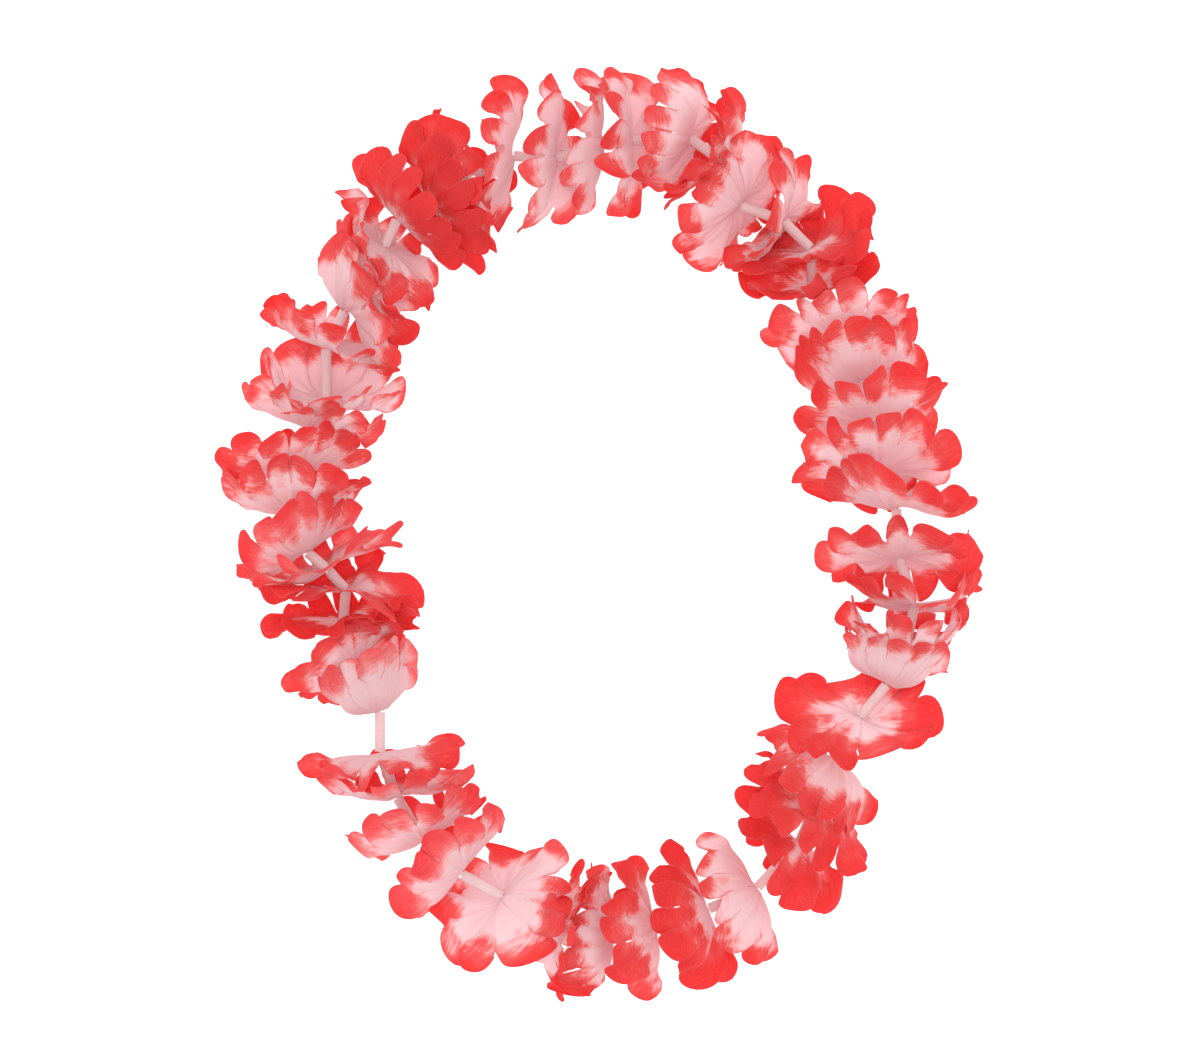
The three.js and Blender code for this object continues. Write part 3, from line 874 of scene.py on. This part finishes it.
class Nodes:
    """A new material and short calls that add its nodes."""

    def __init__(self, name):
        self.material = bpy.data.materials.new(name)
        self.material.use_nodes = True
        self.tree = self.material.node_tree
        self.tree.nodes.clear()
        self.output = self.tree.nodes.new("ShaderNodeOutputMaterial")

    def add(self, kind, settings=None, **inputs):
        node = self.tree.nodes.new(kind)
        for key, value in (settings or {}).items():
            setattr(node, key, value)
        for key, value in inputs.items():
            self.feed(node.inputs[key.replace("_", " ")], value)
        return node

    def feed(self, socket, value):
        if isinstance(value, bpy.types.NodeSocket):
            self.tree.links.new(value, socket)
        else:
            socket.default_value = value

    def math(self, operation, a, b=0.0, c=0.0):
        node = self.tree.nodes.new("ShaderNodeMath")
        node.operation = operation
        for socket, value in zip(node.inputs, (a, b, c)):
            self.feed(socket, value)
        return node.outputs[0]

    def attribute(self, name, output="Fac"):
        node = self.tree.nodes.new("ShaderNodeAttribute")
        node.attribute_name = name
        return node.outputs[output]

    def scaled(self, vector, x, y, z):
        node = self.tree.nodes.new("ShaderNodeMapping")
        self.feed(node.inputs["Vector"], vector)
        node.inputs["Scale"].default_value = (x, y, z)
        return node.outputs[0]

    def noise(self, vector, scale, detail=3.0, roughness=0.5):
        sizes = {"Scale": scale, "Detail": detail, "Roughness": roughness}
        node = self.add("ShaderNodeTexNoise", Vector=vector, **sizes)
        return node.outputs["Fac"]

    def ramp(self, value, stops):
        node = self.tree.nodes.new("ShaderNodeValToRGB")
        self.feed(node.inputs[0], value)
        elements = node.color_ramp.elements
        while len(elements) < len(stops):
            elements.new(0.5)
        for element, (position, color) in zip(elements, stops):
            element.position = position
            element.color = color
        return node.outputs[0]

    def mix(self, factor, a, b, blend="MIX"):
        node = self.tree.nodes.new("ShaderNodeMix")
        node.data_type = "RGBA"
        node.blend_type = blend
        self.feed(node.inputs["Factor"], factor)
        self.feed(node.inputs[6], a)
        self.feed(node.inputs[7], b)
        return node.outputs[2]


PALE = linear(244, 221, 224)
BLUSH = linear(246, 170, 170)
CORAL = linear(236, 86, 84)
RED = linear(238, 30, 30)
DEEP = linear(235, 10, 14)
# Painted shade: a darker pink line painted along the cut edge of the cloth, standing in for the shade
# at its rim. The numbers below give how far in from the edge it is full, where it ends, and how
# strongly it shows.
EDGE_SHADE = linear(240, 112, 112)
EDGE_SHADE_FULL = 0.12  # from the cut edge, and where it ends
EDGE_SHADE_END = 0.55
EDGE_SHADE_SHOWN = 0.55
THREAD = linear(255, 236, 236)
THREADS_SHOWN = 0.16
FADED_CORAL = linear(244, 110, 114)
FADED_RED = linear(240, 66, 72)
BLOTS = 0.75  # how far the dye's edge moves in soft patches, as a share of the radius
STREAKS = 0.34  # and in streaks along the threads
SEEN_THROUGH = 0.5  # of the light that the cloth passes on rather than throws back
TUBE_SEEN_THROUGH = 0.6


def petal_cloth():
    """Thin woven cloth, pale with red dye that has crept in from the tips of the lobes."""
    n = Nodes("petal_cloth")
    cut = n.attribute("cut", "Vector")
    blot = n.noise(n.scaled(cut, 0.075, 0.075, 1), 1.0, 4, 0.55)
    streak = n.noise(n.scaled(cut, 0.10, 0.9, 1), 1.0, 3, 0.6)
    dye = n.attribute("dye")
    dye = n.math("ADD", dye, n.math("MULTIPLY", n.math("SUBTRACT", blot, 0.58), BLOTS))
    dye = n.math("ADD", dye, n.math("MULTIPLY", n.math("SUBTRACT", streak, 0.5), STREAKS))
    level = n.math("MULTIPLY_ADD", dye, 1.6, 0.4)
    stops = [(0.22, PALE), (0.38, BLUSH), (0.50, CORAL), (0.84, RED), (1.0, DEEP)]
    color = n.ramp(level, stops)
    stops = [(0.22, PALE), (0.45, BLUSH), (0.65, FADED_CORAL), (1.0, FADED_RED)]
    color = n.mix(n.attribute("fade"), color, n.ramp(level, stops))
    threads = n.noise(n.scaled(cut, 0.25, 3.4, 1), 1.0, 2, 0.7)
    color = n.mix(n.math("MULTIPLY", threads, THREADS_SHOWN), color, THREAD)
    # Painted shade along the cut edge: the colour is drawn towards one darker pink within about half a
    # millimetre of the edge, standing in for the shade at the cloth's rim.
    edge_distance = n.add("ShaderNodeMapRange", Value=n.attribute("edge_distance"))
    edge_distance.inputs["From Min"].default_value = EDGE_SHADE_FULL
    edge_distance.inputs["From Max"].default_value = EDGE_SHADE_END
    edge_distance.inputs["To Min"].default_value = EDGE_SHADE_SHOWN
    edge_distance.inputs["To Max"].default_value = 0.0
    color = n.mix(edge_distance.outputs[0], color, EDGE_SHADE)
    weave = n.add("ShaderNodeTexWave", {"bands_direction": "Y"}, Vector=cut, Scale=0.62, Distortion=0.6)
    height = n.math("MULTIPLY_ADD", weave.outputs["Fac"], 0.5, threads)
    bump = n.add("ShaderNodeBump", Height=height)
    bump.inputs["Strength"].default_value = 0.35
    bump.inputs["Distance"].default_value = 0.00012
    cloth = n.add("ShaderNodeBsdfPrincipled", Base_Color=color, Normal=bump.outputs[0])
    cloth.inputs["Roughness"].default_value = 0.62
    cloth.inputs["Specular IOR Level"].default_value = 0.08
    cloth.inputs["Sheen Weight"].default_value = 0.1
    cloth.inputs["Sheen Roughness"].default_value = 0.4
    through = n.add("ShaderNodeBsdfTranslucent", Color=color, Normal=bump.outputs[0])
    both = n.add("ShaderNodeMixShader", Fac=SEEN_THROUGH)
    n.feed(both.inputs[1], cloth.outputs[0])
    n.feed(both.inputs[2], through.outputs[0])
    n.feed(n.output.inputs["Surface"], both.outputs[0])
    return n.material


def tube_plastic():
    """Milky plastic with faint lines from drawing along the tube."""
    n = Nodes("spacer_tube")
    coordinates = n.add("ShaderNodeTexCoord").outputs["Object"]
    cloud = n.noise(n.scaled(coordinates, 90, 90, 90), 1.0, 3, 0.5)
    color = n.mix(cloud, linear(252, 240, 240), linear(246, 226, 227))
    lines = n.noise(n.scaled(coordinates, 900, 900, 900), 1.0, 2, 0.5)
    bump = n.add("ShaderNodeBump", Height=lines)
    bump.inputs["Strength"].default_value = 0.2
    bump.inputs["Distance"].default_value = 0.0002
    body = n.add("ShaderNodeBsdfPrincipled", Base_Color=color, Normal=bump.outputs[0])
    body.inputs["Roughness"].default_value = 0.32
    body.inputs["IOR"].default_value = 1.45
    through = n.add("ShaderNodeBsdfTranslucent", Color=color, Normal=bump.outputs[0])
    both = n.add("ShaderNodeMixShader", Fac=TUBE_SEEN_THROUGH)
    n.feed(both.inputs[1], body.outputs[0])
    n.feed(both.inputs[2], through.outputs[0])
    n.feed(n.output.inputs["Surface"], both.outputs[0])
    return n.material


def string_thread():
    n = Nodes("string")
    coordinates = n.add("ShaderNodeTexCoord").outputs["Object"]
    fuzz = n.noise(n.scaled(coordinates, 1500, 1500, 1500), 1.0, 4, 0.7)
    color = n.mix(fuzz, linear(250, 247, 242), linear(222, 214, 206))
    bump = n.add("ShaderNodeBump", Height=fuzz)
    bump.inputs["Strength"].default_value = 0.5
    bump.inputs["Distance"].default_value = 0.0001
    body = n.add("ShaderNodeBsdfPrincipled", Base_Color=color, Normal=bump.outputs[0])
    body.inputs["Roughness"].default_value = 0.85
    n.feed(n.output.inputs["Surface"], body.outputs[0])
    return n.material


def floor_paint():
    n = Nodes("floor")
    coordinates = n.add("ShaderNodeTexCoord").outputs["Object"]
    cloud = n.noise(n.scaled(coordinates, 3, 3, 3), 1.0, 2, 0.5)
    color = n.mix(cloud, (0.93, 0.93, 0.93, 1), (0.95, 0.95, 0.95, 1))
    body = n.add("ShaderNodeBsdfPrincipled", Base_Color=color)
    body.inputs["Roughness"].default_value = 0.9
    body.inputs["Specular IOR Level"].default_value = 0.1
    body.inputs["Emission Color"].default_value = (1, 1, 1, 1)
    body.inputs["Emission Strength"].default_value = FLOOR_GLOW
    n.feed(n.output.inputs["Surface"], body.outputs[0])
    return n.material


# ---------------------------------------------------------------- the scene


def add_camera(shift):
    data = bpy.data.cameras.new("camera")
    data.lens = LENS
    data.sensor_width = SENSOR
    data.clip_end = 20
    camera = bpy.data.objects.new("camera", data)
    height = FRAME_WIDTH * LENS / SENSOR + STRING_HEIGHT
    centre = np.array([*FRAME_CENTRE, height]) + shift * [1, 1, 0]
    camera.location = centre * MM
    bpy.context.scene.collection.objects.link(camera)
    bpy.context.scene.camera = camera


def add_light(name, location, size, power, color=(1, 1, 1)):
    data = bpy.data.lights.new(name, "AREA")
    data.shape = "DISK"
    data.size = size
    data.energy = power
    data.color = color
    light = bpy.data.objects.new(name, data)
    light.location = location
    toward = -np.array(location)
    angle = math.acos(max(-1, min(1, -toward[2] / np.linalg.norm(toward))))
    light.rotation_euler = (angle, 0, math.atan2(toward[1], toward[0]) - math.pi / 2)
    bpy.context.scene.collection.objects.link(light)


def add_studio():
    scene = bpy.context.scene
    scene.view_settings.view_transform = "Standard"
    world = bpy.data.worlds.new("studio")
    world.use_nodes = True
    background = world.node_tree.nodes["Background"]
    background.inputs["Color"].default_value = (1, 1, 1, 1)
    background.inputs["Strength"].default_value = WORLD_LIGHT
    scene.world = world
    add_light("key", KEY_PLACE, KEY_SIZE, KEY_POWER)
    front = bpy.data.lights.new("front", "SUN")
    front.energy = FRONT_LIGHT
    front.angle = FRONT_ANGLE
    scene.collection.objects.link(bpy.data.objects.new("front", front))
    corners = np.array([[-1, -1, 0], [1, -1, 0], [1, 1, 0], [-1, 1, 0]]) * FLOOR_SIZE
    floor = add_mesh("floor", corners * 1000 / 2, [(0, 1, 2, 3)], smooth=False)
    floor.location.z = -FLOOR_DROP
    floor.data.materials.append(floor_paint())


low, high = (np.array(corner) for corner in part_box("string_with_spacer_tubes"))
origin_shift = low / MM - cad_low_corner()
add_camera(origin_shift)
add_studio()
cloth_material = petal_cloth()
tube_material = tube_plastic()
make_string(origin_shift, string_thread())
for number in range(len(florets)):
    make_tube(number, origin_shift, tube_material)
cuts = [cut_floret(each) for each in florets]
for each, cut, shape in zip(florets, cuts, shape_all(cuts)):
    make_cloth(each, cut, shape + origin_shift, cloth_material)
